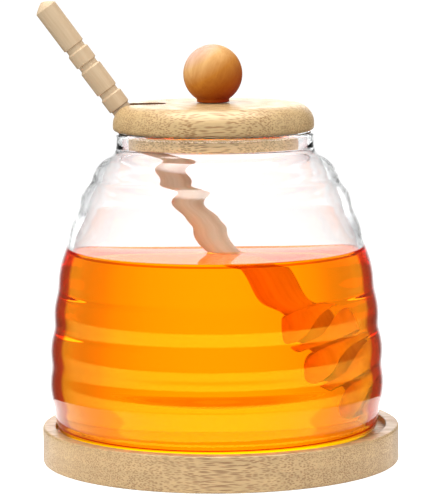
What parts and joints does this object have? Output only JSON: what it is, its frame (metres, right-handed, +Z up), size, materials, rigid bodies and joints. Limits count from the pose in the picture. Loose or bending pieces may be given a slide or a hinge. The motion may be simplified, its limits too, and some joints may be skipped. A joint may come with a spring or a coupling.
{
  "type": "honey pot with dipper",
  "caption": "Ribbed glass honey pot on a round wooden tray, part filled with honey, with a slotted wooden lid, a ball knob and a wooden dipper leaning out of the slot.",
  "frame": {"origin": "centre of the tray's underside", "axes": "+Z up through the middle of the tray; the dipper leans out towards -X, and the front of the pot faces -Y"},
  "size_m": [0.1201, 0.12, 0.1544],
  "materials": {
    "tray_bamboo": "satin, fine dark flecks",
    "clear_glass": "clear, polished",
    "honey": "clear amber syrup",
    "lid_bamboo": "satin, fine dark flecks",
    "knob_wood": "polished",
    "dipper_wood": "smooth, unvarnished"
  },
  "bodies": {
    "root": {"tray": "tray_bamboo", "jar": "clear_glass", "honey": "honey", "lid": "lid_bamboo", "lid_knob": "knob_wood", "dipper": "dipper_wood"}
  },
  "joints": []
}
